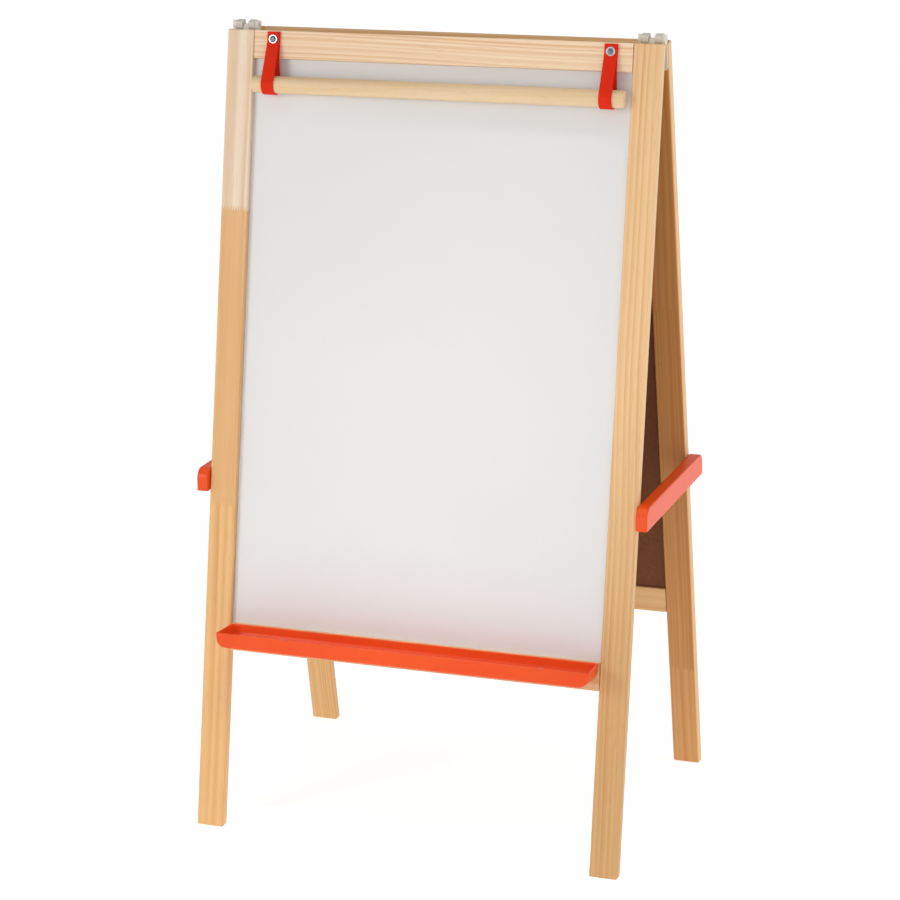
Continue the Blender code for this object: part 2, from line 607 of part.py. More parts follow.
def make_stay(side, parent):
    """An upturned trough beside the legs. Its origin is on its screw's axis in the back leg."""
    way = SIDES[side]
    pivot = Vector((way * LEG_OUTER_X, peg_in_world("back"), PEG_HEIGHT))
    height = STAY_UNDERSIDE + STAY_HEIGHT
    inner_x = way * STAY_OFF_LEG
    outer_x = way * (STAY_OFF_LEG + STAY_WIDTH)
    # The trough is made along X with its rim up, then turned over and along Y.
    turn_over = Matrix.Rotation(math.pi / 2, 4, "Z") @ Matrix.Rotation(math.pi, 4, "X")
    shift = Matrix.Translation((0, -pivot.y, height - PEG_HEIGHT))

    def turned_trough(bm, half_length, x_low, x_high, rim, closed, radius, draft, edge):
        add_trough(bm, half_length, x_low, x_high, 0.0, rim, closed, radius, draft, edge)
        bmesh.ops.transform(bm, matrix=shift @ turn_over, verts=bm.verts)

    low, high = sorted((inner_x, outer_x))
    bm = bmesh.new()
    turned_trough(bm, STAY_HALF_LENGTH, low, high, STAY_HEIGHT, 0.0, STAY_END_RADIUS, STAY_DRAFT,
                  STAY_EDGE_RADIUS)
    stay = make(f"stay_{side}", bm, "orange plastic", parent, smooth=True)
    stay.location = pivot
    stay.matrix_parent_inverse = FRAME_MATRIX["back"].inverted()

    hollow = bmesh.new()
    turned_trough(hollow, STAY_HALF_LENGTH - STAY_WALL, low + STAY_WALL, high - STAY_WALL,
                  STAY_HEIGHT + PAST, STAY_WALL, STAY_END_RADIUS - STAY_WALL, STAY_DRAFT,
                  STAY_EDGE_RADIUS / 2)
    cuts = bmesh.new()
    hole_from = inner_x - way * PAST
    hole_to = inner_x + way * (STAY_WALL + PAST)
    slot = PEG_RADIUS + GAP
    add_rod(cuts, slot, (hole_from, 0, 0), (hole_to, 0, 0), sides=20)
    reach = peg_in_world("front") - pivot.y
    under = STAY_UNDERSIDE - PEG_HEIGHT - PAST
    top = arc((reach, 0), slot, 180, MOUTH_FROM, 7)
    mouth = [(reach - slot, under)] + top + [(reach - slot + MOUTH_LENGTH, under)]
    add_prism(cuts, mouth, hole_from, hole_to)
    for tool_name, shape in (("hollow", hollow), ("cut", cuts)):
        tool = helper(f"{tool_name}_{stay.name}", shape, parent)
        tool.location = pivot
        tool.matrix_parent_inverse = FRAME_MATRIX["back"].inverted()
        combine(stay, tool, "DIFFERENCE")


def make_easel():
    """Every piece, frame by frame."""
    for old in list(bpy.data.objects):
        bpy.data.objects.remove(old, do_unlink=True)
    empties = {frame: frame_empty(frame) for frame in FRAME_MATRIX}
    for frame, parent in empties.items():
        for place, rail in (("top", TOP_RAIL), ("bottom", BOTTOM_RAIL)):
            make_rail(frame, place, rail, parent)
            for side in SIDES:
                make_joint_dowels(frame, place, rail, side, parent)
        for side in SIDES:
            make_leg(frame, side, parent)
            make_hinge_half(frame, side, OUTER_LUG if frame == "front" else INNER_LUG, parent)
        make_tray(frame, parent)
    make_board("whiteboard_panel", "whiteboard", empties["front"])
    make_board("chalkboard_panel", "chalkboard", empties["back"])
    make_paper_rod(empties["front"])
    for side in SIDES:
        make_strap(side, empties["front"])
        make_hinge_pin(side, empties["front"])
        make_peg(f"stay_{side}_catch_peg", "front", side, empties["front"])
        make_peg(f"stay_{side}_pivot_screw", "back", side, empties["back"])
        make_stay(side, empties["back"])


make_easel()
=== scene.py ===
import json
import math

import bmesh
import bpy
from mathutils import Matrix, Vector


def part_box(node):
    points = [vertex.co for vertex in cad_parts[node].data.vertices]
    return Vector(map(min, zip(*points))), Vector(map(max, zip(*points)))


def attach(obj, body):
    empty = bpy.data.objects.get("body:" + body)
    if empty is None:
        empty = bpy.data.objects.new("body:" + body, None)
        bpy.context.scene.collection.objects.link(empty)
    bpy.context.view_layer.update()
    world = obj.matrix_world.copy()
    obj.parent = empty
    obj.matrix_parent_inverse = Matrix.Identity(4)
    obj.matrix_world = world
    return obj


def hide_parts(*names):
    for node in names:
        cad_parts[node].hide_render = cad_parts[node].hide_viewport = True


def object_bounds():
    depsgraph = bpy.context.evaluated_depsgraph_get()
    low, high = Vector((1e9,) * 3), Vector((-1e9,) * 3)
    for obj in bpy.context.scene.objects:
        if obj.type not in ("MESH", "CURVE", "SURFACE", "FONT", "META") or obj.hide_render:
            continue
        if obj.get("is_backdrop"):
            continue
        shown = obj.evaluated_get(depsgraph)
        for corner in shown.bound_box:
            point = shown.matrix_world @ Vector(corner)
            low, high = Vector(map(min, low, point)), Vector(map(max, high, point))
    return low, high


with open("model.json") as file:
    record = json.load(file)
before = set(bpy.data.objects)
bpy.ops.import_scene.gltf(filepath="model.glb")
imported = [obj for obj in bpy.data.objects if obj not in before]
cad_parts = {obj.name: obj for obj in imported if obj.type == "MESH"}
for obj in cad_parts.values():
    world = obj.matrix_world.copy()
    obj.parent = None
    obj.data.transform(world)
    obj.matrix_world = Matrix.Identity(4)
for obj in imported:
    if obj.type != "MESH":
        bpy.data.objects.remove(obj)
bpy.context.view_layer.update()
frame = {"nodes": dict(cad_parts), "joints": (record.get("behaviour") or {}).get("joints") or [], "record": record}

# The two frames' own axes are X across, Y from the display side inwards and Z up along the legs,
# with the hinge pins on the X axis.
JOINTS = {joint["name"]: joint for joint in frame["joints"]}
MOUNTS = {mount["name"]: mount for mount in frame["record"]["mounts"]}
PIN = Vector(JOINTS["fold"]["pos_m"])
LEAN = math.asin(MOUNTS["front_tray_floor"]["axis"][1])
PLACED = {
    "front": Matrix.Translation(PIN) @ Matrix.Rotation(-LEAN, 4, "X"),
    "back": (Matrix.Translation(PIN) @ Matrix.Rotation(math.pi, 4, "Z")
             @ Matrix.Rotation(-LEAN, 4, "X")),
}
SIDES = {"left": -1, "right": 1}
GAP = 0.0003                    # between pieces that touch
PAST = 0.002                    # how far a cutter runs past the surface it opens
PAST_WALL = 0.001               # the same on a thin wall's far side

for name in ("Cube", "Light", "Camera"):
    if name in bpy.data.objects:
        bpy.data.objects.remove(bpy.data.objects[name])


def way_of(end, side):
    """+1 or -1: where the object's left or right lies on a frame's own X axis."""
    return SIDES[side] * (1 if end == "front" else -1)


def box_in(node, placing):
    """The lowest and highest corner of a CAD node along a frame's own axes."""
    inverse = placing.inverted()
    points = [inverse @ v.co for v in frame["nodes"][node].data.vertices]
    return (Vector([min(p[i] for p in points) for i in range(3)]),
            Vector([max(p[i] for p in points) for i in range(3)]))


def tone(red, green, blue):
    """A linear colour from 0 to 255 screen values."""
    parts = [c / 255 for c in (red, green, blue)]
    return [c / 12.92 if c <= 0.04045 else ((c + 0.055) / 1.055) ** 2.4 for c in parts] + [1.0]


# Finishes

class Value:
    """A shader socket that can be reckoned with."""

    def __init__(self, finish, socket):
        self.finish = finish
        self.socket = socket

    def maths(self, operation, *others):
        """A Math node on this value and others."""
        return self.finish.node("ShaderNodeMath", {"operation": operation},
                                dict(enumerate((self,) + others)))

    def __add__(self, other):
        return self.maths("ADD", other)

    def __sub__(self, other):
        return self.maths("SUBTRACT", other)

    def __rsub__(self, other):
        return self.finish.node("ShaderNodeMath", {"operation": "SUBTRACT"}, {0: other, 1: self})

    def __mul__(self, other):
        return self.maths("MULTIPLY", other)

    def __truediv__(self, other):
        return self.maths("DIVIDE", other)

    def __pow__(self, other):
        return self.maths("POWER", other)

    def __gt__(self, other):
        return self.maths("GREATER_THAN", other)

    __radd__ = __add__
    __rmul__ = __mul__

    def between(self, low, high):
        """0 below low, 1 above high, and smooth between them."""
        return self.finish.node("ShaderNodeMapRange", {"interpolation_type": "SMOOTHSTEP"},
                                {"Value": self, "From Min": low, "From Max": high})


class Finish:
    """A material, built one node at a time."""

    def __init__(self, name, **constants):
        self.material = bpy.data.materials.new(name)
        self.material.use_nodes = True
        self.tree = self.material.node_tree
        self.shader = self.tree.nodes["Principled BSDF"]
        for label, value in constants.items():
            self.socket(label).default_value = value

    def socket(self, label):
        """The shader's socket for a label such as coat_weight."""
        return next(s for s in self.shader.inputs if s.name.lower().replace(" ", "_") == label)

    def node(self, kind, settings, values, out=None):
        """A node with its settings, then the values or links of its sockets. Returns an output."""
        node = self.tree.nodes.new(kind)
        for key, setting in settings.items():
            setattr(node, key, setting)
        for key, value in values.items():
            found = node.inputs[key] if isinstance(key, int) else next(
                s for s in node.inputs if s.name == key and s.enabled)
            if isinstance(value, Value):
                self.tree.links.new(value.socket, found)
            else:
                found.default_value = value
        outputs = [s for s in node.outputs if s.enabled]
        return Value(self, outputs[0] if out is None else next(s for s in outputs if s.name == out))

    def where(self, placing=Matrix.Identity(4)):
        """The point on the piece, along a frame's own axes."""
        inverse = placing.inverted()
        point = self.node("ShaderNodeTexCoord", {}, {}, "Object")
        return self.node("ShaderNodeMapping", {}, {
            "Vector": point, "Location": inverse.translation, "Rotation": inverse.to_euler("XYZ")})

    def parts(self, vector):
        """The three numbers of a vector."""
        return [self.node("ShaderNodeSeparateXYZ", {}, {0: vector}, axis) for axis in "XYZ"]

    def vector(self, x, y, z):
        """A vector made of three numbers."""
        return self.node("ShaderNodeCombineXYZ", {}, {0: x, 1: y, 2: z})

    def noise(self, vector, scale=1.0, detail=2.0, rough=0.5, twist=0.0):
        """Smooth noise from 0 to 1."""
        return self.node("ShaderNodeTexNoise", {}, {
            "Vector": vector, "Scale": scale, "Detail": detail, "Roughness": rough,
            "Distortion": twist})

    def mix(self, factor, a, b, blend="MIX"):
        """Two colours mixed."""
        return self.node("ShaderNodeMix", {"data_type": "RGBA", "blend_type": blend},
                         {"Factor": factor, "A": a, "B": b})

    def feed(self, **sockets):
        """Links what changes over the surface to the shader."""
        for label, value in sockets.items():
            self.tree.links.new(value.socket, self.socket(label))
        return self.material

    def bump(self, height, distance, strength=1.0):
        """A normal from a height, whose whole range is as deep as distance."""
        return self.node("ShaderNodeBump", {}, {
            "Height": height, "Distance": distance, "Strength": strength})


# Tones of pine, from the palest to the darkest
WHITE_PINE = tone(236, 218, 195)
PALE = tone(242, 214, 181)
STRAW = tone(233, 195, 145)
HONEY = tone(229, 184, 126)
AMBER = tone(212, 158, 96)
BROWN = tone(205, 146, 83)
LATE_WOOD = (0.78, 0.55, 0.32, 1.0)     # multiplies a tone where the grain is dark

FINGER_HALF_PITCH = 0.0019      # of a finger joint
FINGER_SLOPE = 5.0              # a finger's length to its half pitch
SEAM = 0.0006                   # half of a glue line's width
PAINTED_LIGHT_EDGE = 0.0014           # over which a back leg's outer side turns pale: painted light on the lit side
WIDE_RINGS, CLOSE_RINGS = 0.0075, 0.0052


def pine(name, end, along, stretches, pith, seed, spacing, painted_light_side=None, foot_shade=None):
    """Lacquered pine, finger-jointed from stretches of (where the stretch ends, tone)."""
    wood = Finish(name, roughness=0.45, specular_ior_level=0.35, coat_weight=0.06,
                  coat_roughness=0.35)
    x, y, z = wood.parts(wood.where(PLACED[end]))
    across, run = (x, z) if along == "Z" else (z, x)
    finger = wood.node("ShaderNodeMath", {"operation": "PINGPONG"},
                       {0: across, 1: FINGER_HALF_PITCH}) * FINGER_SLOPE
    number, seams, colour = 0.0, [], stretches[0][1]
    for (until, _), (_, following) in zip(stretches, stretches[1:]):
        past = run + finger - until
        beyond = past > 0.0
        number = beyond + number
        seams.append(1.0 - past.maths("ABSOLUTE").between(0.0, SEAM))
        colour = wood.mix(beyond, colour, following)
    chance = wood.node("ShaderNodeTexWhiteNoise", {"noise_dimensions": "1D"},
                       {"W": number + seed}, "Color")
    first, second, third = wood.parts(chance)

    # Growth rings round a pith that lies beside the piece and wanders along it
    drift = wood.noise(wood.vector(across * 3.0 + first * 9.0, y * 3.0,
                                   run * 1.3 + second * 30.0), detail=1.0)
    swirl = wood.noise(wood.vector(across * 14.0, y * 14.0, run * 2.6 + third * 20.0), detail=2.0)
    from_pith_x = across - pith[0] - (first - 0.5) * 0.04 + (drift - 0.5) * 0.034
    from_pith_y = y - pith[1] - (second - 0.5) * 0.02
    radius = (from_pith_x * from_pith_x + from_pith_y * from_pith_y) ** 0.5
    uneven = wood.noise(wood.vector(radius * 90.0 + third * 50.0, 0.0, 0.0), detail=1.0)
    turns = radius / spacing + (uneven - 0.5) * 1.8 + (swirl - 0.5) * 0.35
    ring = turns.maths("FRACT")
    late = (ring ** 1.8) * (1.0 - ring.between(0.72, 1.0))
    strength = wood.noise(wood.vector(radius * 70.0, 3.0, run * 1.1 + first * 11.0),
                          detail=1.0).between(0.25, 0.75)

    # Fibres, wider streaks and short resin flecks along the grain
    fibre = wood.noise(wood.vector(across * 1500.0, y * 1500.0, run * 22.0), detail=3.0, rough=0.6)
    streak = wood.noise(wood.vector(across * 190.0, y * 190.0, run * 1.8), detail=3.0, rough=0.6)
    resin = wood.noise(wood.vector(across * 900.0, y * 900.0, run * 45.0 + 7.0),
                       detail=0.0).between(0.74, 0.80)
    # Painted shade: the leg darkens towards its foot
    if foot_shade:
        darkest, begins, foot_shade_tone = foot_shade
        colour = wood.mix(1.0 - run.between(darkest, begins), colour, foot_shade_tone)
    # Painted light: a back leg's outer side is painted pale, as if lit, against its shaded faces
    if painted_light_side:
        painted_light_mask = across.maths("ABSOLUTE").between(painted_light_side - PAINTED_LIGHT_EDGE, painted_light_side)
        colour = wood.mix(painted_light_mask, colour, STRAW)
    dark = wood.mix(1.0, colour, LATE_WOOD, "MULTIPLY")
    shown = wood.mix(late * (strength * 0.85 + 0.40), colour, dark)
    shown = wood.mix((streak - 0.42) * 0.85, shown, dark)
    shown = wood.mix(fibre.between(0.50, 0.80) * 0.18, shown, dark)
    shown = wood.mix(resin * 0.35, shown, dark)
    height = late * 0.10 + fibre * 0.35
    for seam in seams:
        shown = wood.mix(seam * 0.30, shown, dark)
        height = height - seam * 0.3
    return wood.feed(base_color=shown, roughness=0.40 + fibre * 0.16 + late * 0.06,
                     normal=wood.bump(height, 0.00010, 0.8))


def beech(name):
    """Smooth turned wood for the rod, with short flecks along it."""
    wood = Finish(name, roughness=0.5, specular_ior_level=0.3)
    x, y, z = wood.parts(wood.where())
    fleck = wood.noise(wood.vector(x * 70.0, y * 900.0, z * 900.0), detail=2.0).between(0.60, 0.74)
    band = wood.noise(wood.vector(x * 1.6, y * 70.0, z * 70.0), detail=3.0, rough=0.6)
    fibre = wood.noise(wood.vector(x * 24.0, y * 1600.0, z * 1600.0), detail=2.0)
    colour = wood.mix(band.between(0.3, 0.7), tone(232, 206, 168), tone(222, 190, 147))
    colour = wood.mix(fleck * 0.35, colour, tone(186, 140, 86))
    colour = wood.mix(fibre * 0.18, colour, tone(200, 156, 100))
    return wood.feed(base_color=colour, roughness=0.42 + fibre * 0.14,
                     normal=wood.bump(fibre + fleck * 0.4, 0.00008, 0.7))


def moulded(name, colour, darker, dullness, shine, grain=0.00003):
    """Moulded plastic with a fine grained skin and faint flow marks."""
    plastic = Finish(name, roughness=dullness, specular_ior_level=shine)
    point = plastic.where()
    flow = plastic.noise(point, scale=9.0, detail=3.0, twist=0.6)
    skin = plastic.noise(point, scale=2600.0, detail=1.0)
    scuff = plastic.noise(point, scale=60.0, detail=4.0, rough=0.7).between(0.58, 0.75)
    return plastic.feed(base_color=plastic.mix(flow.between(0.3, 0.7), colour, darker),
                        roughness=dullness + skin * 0.06 + scuff * 0.08,
                        normal=plastic.bump(skin, grain, 0.5))


MESH_PRINT = 2400.0             # of the press's wire mesh in a hardboard's back, radians per metre


def two_sided(name, end, face, back_from):
    """A board: its display face, and brown hardboard from a depth in the frame on."""
    board = Finish(name, roughness=0.3, specular_ior_level=0.3)
    place = board.where(PLACED[end])
    x, y, z = board.parts(place)
    behind = y > back_from
    fibres = board.noise(place, scale=190.0, detail=5.0, rough=0.65)
    clouds = board.noise(place, scale=7.0, detail=2.0)
    brown = board.mix(fibres.between(0.2, 0.8), tone(106, 60, 29), tone(124, 73, 38))
    brown = board.mix(clouds * 0.35, brown, tone(102, 59, 30))
    mesh_print = (x * MESH_PRINT).maths("SINE") * (z * MESH_PRINT).maths("SINE")
    if face == "white":
        wiped = board.noise(board.vector(x * 2.0, y, z * 5.0), detail=3.0)
        specks = board.noise(place, scale=1300.0, detail=1.0)
        front = board.mix(wiped.between(0.2, 0.8), tone(224, 223, 222), tone(221, 220, 219))
        dullness = 0.36 + wiped * 0.06 + specks * 0.03
    else:
        wiped = board.noise(board.vector(x * 3.0, y, z * 8.0), detail=6.0, rough=0.6, twist=0.35)
        left_on = board.noise(board.vector(x * 1.5, y, z * 1.5), detail=1.0).between(0.3, 0.7)
        specks = board.noise(place, scale=900.0).between(0.62, 0.8)
        dust = wiped.between(0.35, 0.80) * (left_on * 0.05 + 0.02) + specks * 0.04
        front = board.mix(dust, tone(38, 42, 40), tone(190, 192, 188))
        dullness = 0.78 + dust * 0.3
    return board.feed(base_color=board.mix(behind, front, brown),
                      roughness=dullness * (1.0 - behind) + behind * 0.75,
                      normal=board.bump((mesh_print * 0.5 + fibres) * behind, 0.0003, 0.6))


def metal(name, colour, rough, brushed):
    """Plated steel, finely brushed or tumbled."""
    steel = Finish(name, metallic=1.0)
    point = steel.where()
    blotch = steel.noise(point, scale=350.0, detail=3.0)
    fine = steel.noise(point, scale=brushed, detail=2.0)
    return steel.feed(base_color=steel.mix(blotch * 0.5, colour, tone(150, 155, 165)),
                      roughness=rough + fine * 0.18, normal=steel.bump(fine, 0.00003, 0.5))


# Each leg's stretches of wood from the foot up, and each rail's from the left: how far along the
# frame's own axis a stretch reaches, and its tone. The last one reaches past the end.
LEG_STRETCHES = {
    "front_leg_left": [(-0.700, HONEY), (-0.263, STRAW), (1.0, WHITE_PINE)],
    "front_leg_right": [(1.0, STRAW)],
    "back_leg_left": [(-0.820, HONEY), (-0.330, AMBER), (1.0, HONEY)],
    "back_leg_right": [(-1.014, AMBER), (-0.411, BROWN), (1.0, BROWN)],
}
RAIL_STRETCHES = {
    "front_top_rail": [(1.0, PALE)],
    "front_bottom_rail": [(1.0, STRAW)],
    "back_top_rail": [(1.0, HONEY)],
    "back_bottom_rail": [(-0.06, HONEY), (1.0, STRAW)],
}
# A leg painted darker towards its foot, painted shade: where it is darkest, where it begins, and the tone
PAINTED_FOOT_SHADE = {"front_leg_right": (-1.0, -0.45, tone(210, 168, 114))}
# Where the middle of the tree lay: across the piece, and in from the display side
PITHS = {
    "front_leg_left": (-0.325, 0.028),
    "front_leg_right": (0.352, 0.020),
    "back_leg_left": (0.350, 0.026),
    "back_leg_right": (-0.345, 0.030),
    "front_top_rail": (-0.110, 0.020),
    "front_bottom_rail": (-0.900, 0.030),
    "back_top_rail": (-0.115, 0.024),
    "back_bottom_rail": (-0.905, 0.036),
}
ORANGE = moulded("orange_plastic", tone(234, 80, 20), tone(231, 74, 16), 0.30, 0.32)
STRAP_RED = moulded("strap_red", tone(222, 44, 12), tone(214, 38, 10), 0.55, 0.12, grain=0.00006)
HINGE_PLASTIC = moulded("hinge_plastic", tone(226, 221, 211), tone(219, 213, 202), 0.42, 0.3)
ROD_BEECH = beech("rod_beech")
ZINC = metal("zinc_plate", tone(128, 134, 146), 0.24, 1800.0)
WASHER_STEEL = metal("washer_steel", tone(232, 233, 236), 0.20, 3000.0)


# Making meshes

def piece_from(name, bm, material, sharp=40):
    """A smooth-shaded object from a mesh, its edges sharp past an angle."""
    bmesh.ops.recalc_face_normals(bm, faces=bm.faces)
    mesh = bpy.data.meshes.new(name)
    bm.to_mesh(mesh)
    bm.free()
    piece = bpy.data.objects.new(name, mesh)
    bpy.context.scene.collection.objects.link(piece)
    mesh.materials.append(material)
    mesh.shade_smooth()
    mesh.set_sharp_from_angle(angle=math.radians(sharp))
    return piece


def settle(piece):
    """Turns a piece's modifiers into its plain mesh."""
    bpy.context.view_layer.update()
    graph = bpy.context.evaluated_depsgraph_get()
    mesh = bpy.data.meshes.new_from_object(piece.evaluated_get(graph), depsgraph=graph)
    piece.modifiers.clear()
    piece.data = mesh
    return piece


def level_normals(piece):
    """Shades flat faces flat beside their rounded edges."""
    weighted = piece.modifiers.new("level_normals", "WEIGHTED_NORMAL")
    weighted.keep_sharp = True
    weighted.weight = 100
    return settle(piece)


def put(piece, body, nodes):
    """A finished piece rides on its body and stands for its CAD nodes."""
    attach(piece, body)
    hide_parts(*nodes)
    return piece


def trim(piece, tool_mesh, operation="DIFFERENCE"):
    """Cuts a shape out of a piece, or joins it on."""
    tool = piece_from("tool", tool_mesh, piece.data.materials[0])
    boolean = piece.modifiers.new("trim", "BOOLEAN")
    boolean.operation = operation
    boolean.solver = "EXACT"
    boolean.object = tool
    settle(piece)
    bpy.data.objects.remove(tool)
    return piece


def turned(bm, profile, placing, sides=48):
    """A profile of (radius, height) points turned round Z, then placed."""
    made = bmesh.new()
    ring = [made.verts.new((radius, 0, height)) for radius, height in profile]
    edges = [made.edges.new(pair) for pair in zip(ring, ring[1:])]
    bmesh.ops.spin(made, geom=ring + edges, cent=(0, 0, 0), axis=(0, 0, 1),
                   angle=2 * math.pi, steps=sides)
    bmesh.ops.remove_doubles(made, verts=made.verts, dist=1e-6)
    bmesh.ops.recalc_face_normals(made, faces=made.faces)
    bmesh.ops.transform(made, matrix=placing, verts=made.verts)
    add_to(bm, made)


def prism(bm, outline, x_from, x_to, placing=Matrix.Identity(4)):
    """An outline in Y and Z, extruded along X, then placed."""
    made = bmesh.new()
    face = made.faces.new([made.verts.new((x_from, y, z)) for y, z in outline])
    grown = bmesh.ops.extrude_face_region(made, geom=[face])["geom"]
    moved = [v for v in grown if isinstance(v, bmesh.types.BMVert)]
    bmesh.ops.translate(made, verts=moved, vec=(x_to - x_from, 0, 0))
    bmesh.ops.recalc_face_normals(made, faces=made.faces)
    bmesh.ops.transform(made, matrix=placing, verts=made.verts)
    add_to(bm, made)


def add_to(bm, made):
    """Moves a finished mesh into another."""
    carried = bpy.data.meshes.new("carried")
    made.to_mesh(carried)
    made.free()
    bm.from_mesh(carried)
    bpy.data.meshes.remove(carried)


def arc(centre, radius, start, end, steps):
    """Points on a round stretch, with its angles in degrees."""
    angles = [math.radians(start + (end - start) * i / steps) for i in range(steps + 1)]
    return [(centre[0] + radius * math.cos(a), centre[1] + radius * math.sin(a)) for a in angles]


def facing(axis, at):
    """The matrix that turns +Z towards an axis and places it."""
    return Matrix.Translation(at) @ Vector(axis).to_track_quat("Z", "Y").to_matrix().to_4x4()


# Timber

MERGE = 1e-5                    # how near two of a CAD mesh's loose corners lie
PAINTED_LIGHT_IN = 0.0010             # how far the pale wood, painted light standing for the lit outer side, reaches in from a back leg's outer side


def make_timber(node, end, along, stretches, seed):
    """A leg or rail with its edges' rounding shaded smooth, in its own stretch of wood."""
    bm = bmesh.new()
    bm.from_mesh(frame["nodes"][node].data)
    bmesh.ops.remove_doubles(bm, verts=bm.verts, dist=MERGE)
    painted_light_side = None
    # The back legs' outer sides get painted light: a pale band that stands for the lit side
    if node.startswith("back_leg"):
        painted_light_side = max(abs(v.co.x) for v in bm.verts) - PAINTED_LIGHT_IN
    close_grown = along == "X" or end == "back"
    wood = pine(f"{node}_pine", end, along, stretches, PITHS[node], seed,
                spacing=CLOSE_RINGS if close_grown else WIDE_RINGS,
                painted_light_side=painted_light_side, foot_shade=PAINTED_FOOT_SHADE.get(node))
    piece = piece_from(f"{node}_timber", bm, wood, sharp=50)
    put(level_normals(piece), f"{end}_frame", [node])


# Each leg's or rail's seed: a first one, and a step to the next
for timbers, along, seed, step in ((LEG_STRETCHES, "Z", 1.0, 5.3), (RAIL_STRETCHES, "X", 2.5, 4.1)):
    for i, (node, stretches) in enumerate(timbers.items()):
        make_timber(node, node.split("_")[0], along, stretches, i * step + seed)

for node, end, face in (("whiteboard_panel", "front", "white"),
                        ("chalkboard_panel", "back", "chalk")):
    low, high = box_in(node, PLACED[end])
    finish = two_sided(f"{node}_finish", end, face, (low.y + high.y) / 2)
    frame["nodes"][node].material_slots[0].material = finish


# Trays and stays

NEAREST_LEVELS = 0.0002         # between two levels of a trough
LEAST_CORNER = 0.0012           # of a trough's corners, seen from above
TRAY_FLARE = 0.0025             # by which each end of a tray leans out towards the front
STAY_WALL = 0.0023
STAY_HOLE = 0.0033              # radius of the screw's hole and the peg's slot
MOUTH_LENGTH = 0.0185           # of the slot's mouth along the stay's lower edge
MOUTH_FROM = 30                 # degrees round the peg at which the mouth's slanted side starts


def eased(radius, above):
    """How far a rounded bottom edge lies in from its wall at a height above the bottom."""
    if above >= radius:
        return 0.0
    return radius - math.sqrt(max(radius ** 2 - (radius - above) ** 2, 0.0))


def quarter_heights(floor, radius, step):
    """Heights up a quarter round that rises from a floor."""
    return [floor + radius * (1 - math.cos(math.radians(a))) for a in range(0, 91, step)]


def shell_levels(half_length, height, wall, end_radius, draft, edge, cove, rim):
    """A trough's levels from its underside, over the rim, to its inside floor.
    Each is the half length, how far the front and back lie in, and the height."""

    def levels(floor, radius, back_edge):
        top = height - rim
        near = quarter_heights(floor, edge, 10)
        far = quarter_heights(floor, max(radius, back_edge), 5)
        between = [up for up in far if near[-1] + NEAREST_LEVELS < up < top - NEAREST_LEVELS]
        return [(half_length - floor - draft * (1 - up / height) - eased(radius, up - floor),
                 floor + eased(edge, up - floor), floor + eased(back_edge, up - floor), up)
                for up in near + between + [top]]

    over = []
    for inset, angles in ((rim, range(15, 91, 15)), (wall - rim, range(90, 180, 15))):
        for a in angles:
            reach = rim * math.cos(math.radians(a))
            over.append((half_length - inset + reach, inset - reach, inset - reach,
                         height - rim + rim * math.sin(math.radians(a))))
    return levels(0.0, end_radius, edge) + over + levels(wall, end_radius - wall, cove)[::-1]


def trough(half_length, depth, height, drop, wall, end_radius, draft, edge, cove, rim, corner,
           flare=0.0):
    """An open trough along X, its back at Y 0 and its underside at Z 0, as one closed skin.
    Its ends flare out and its rim drops towards the front."""
    bm = bmesh.new()
    rings = []
    for long, front, back, up in shell_levels(half_length, height, wall, end_radius, draft,
                                              edge, cove, rim):
        radius = max(corner - min(front, back, wall), LEAST_CORNER)
        ring = []
        for x_way, y, y_way, start in ((1, -back, -1, 0), (-1, -back, -1, 90),
                                       (-1, front - depth, 1, 180), (1, front - depth, 1, 270)):
            centre = (x_way * (long - radius), y + y_way * radius)
            ring += arc(centre, radius, start, start + 90, 6)
        rings.append([bm.verts.new((x * (1 - flare / half_length * y / depth), y,
                                    up + drop * up / height * y / depth)) for x, y in ring])
    for low, high in zip(rings, rings[1:]):
        for i in range(len(low)):
            j = (i + 1) % len(low)
            bm.faces.new((low[i], low[j], high[j], high[i]))
    bm.faces.new(rings[0][::-1])
    bm.faces.new(rings[-1])
    return bm


def make_tray(end):
    """An open tray on a bottom rail."""
    placing = PLACED[end]
    low, high = box_in(f"{end}_tray", placing)
    bm = trough(half_length=high.x - TRAY_FLARE, depth=high.y - low.y, height=high.z - low.z,
                drop=0.0068, wall=0.0028, end_radius=0.015, draft=0.003, edge=0.0042,
                cove=0.016, rim=0.0009, corner=0.0035, flare=TRAY_FLARE)
    seat = Matrix.Translation((0, high.y, low.z))
    bmesh.ops.transform(bm, matrix=placing @ seat, verts=bm.verts)
    piece = piece_from(f"{end}_tray_shell", bm, ORANGE, sharp=60)
    put(level_normals(piece), f"{end}_frame", [f"{end}_tray"])


